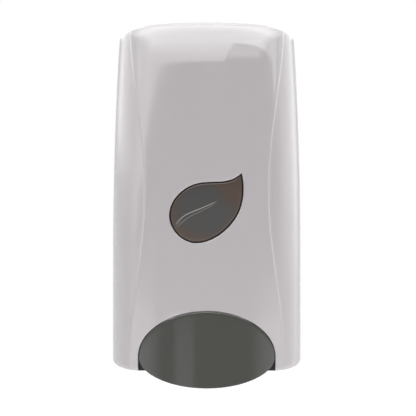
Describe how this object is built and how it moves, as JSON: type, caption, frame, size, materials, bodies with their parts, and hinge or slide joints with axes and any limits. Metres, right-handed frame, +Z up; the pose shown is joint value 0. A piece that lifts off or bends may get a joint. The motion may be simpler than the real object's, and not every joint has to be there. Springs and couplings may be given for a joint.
{
  "type": "wall mounted soap dispenser",
  "caption": "Wall mounted liquid soap dispenser with a hinged glossy cover, leaf-shaped sight window, fill-up tank, lock and push panel that works a piston pump.",
  "frame": {"origin": "centre of the four wall screw holes, on the back plate's rear face, which lies on the wall", "axes": "+Z up, the front of the dispenser faces -Y, +Y points into the wall, +X to the viewer's right"},
  "size_m": [0.13, 0.1075, 0.2432],
  "materials": {
    "white_abs": "moulded ABS, high gloss, cool white",
    "smoked_grey": "moulded styrene, gloss, grey with a green cast",
    "smoked_window": "smoked clear styrene, polished",
    "natural_pp": "milky blow moulded polypropylene, satin",
    "black_abs": "moulded ABS, fine texture, black",
    "white_acetal": "moulded acetal, satin, off white",
    "silicone": "translucent silicone",
    "black_rubber": "nitrile rubber",
    "steel": "bright drawn or pressed stainless steel",
    "plated_zinc": "nickel plated zinc casting"
  },
  "bodies": {
    "base": {"back_plate": "white_abs", "tank": "natural_pp", "tank_top": "natural_pp", "lid_hinge_pin": "steel", "lid_gasket": "silicone", "cover_hinge_pins": "steel", "neck_gasket": "silicone", "collar_nut": "white_acetal", "pump_barrel": "white_acetal", "inlet_ball": "steel", "ball_cage": "white_acetal", "pump_spring": "steel"},
    "lid": {"fill_lid": "natural_pp"},
    "cover": {"front_cover": "white_abs", "sight_window": "smoked_window", "push_pivot_rod": "steel", "lock_bush": "plated_zinc", "lock_nut": "steel"},
    "lock": {"lock_plug": "plated_zinc", "lock_cam": "steel", "lock_screw": "steel"},
    "push": {"push_panel": "smoked_grey", "push_lever": "black_abs", "panel_screws": "steel"},
    "plunger": {"piston": "white_acetal", "piston_ring": "black_rubber", "drip_valve": "silicone"}
  },
  "joints": [
    {"name": "cover_hinge", "type": "hinge", "parent": "base", "child": "cover", "pos_m": [0, -0.014, -0.107], "axis": [1, 0, 0], "range_deg": [0, 80]},
    {"name": "push_pivot", "type": "hinge", "parent": "cover", "child": "push", "pos_m": [0, -0.088, -0.074], "axis": [1, 0, 0], "range_deg": [0, 13], "stiffness_Nm_per_rad": 2, "springref_deg": -8.59},
    {"name": "pump_slide", "type": "slide", "parent": "base", "child": "plunger", "axis": [0, 0, 1], "range_m": [0, 0.0082], "deforming": ["pump_spring"]},
    {"name": "lid_hinge", "type": "hinge", "parent": "base", "child": "lid", "pos_m": [0, -0.044, 0.0773], "axis": [-1, 0, 0], "range_deg": [0, 90]},
    {"name": "lock_turn", "type": "hinge", "parent": "cover", "child": "lock", "pos_m": [0, -0.03, 0.1], "axis": [0, 0, 1], "range_deg": [0, 90]}
  ],
  "couplings": [
    {"joint": "pump_slide", "follows": "push_pivot", "m_per_rad": 0.0359}
  ]
}
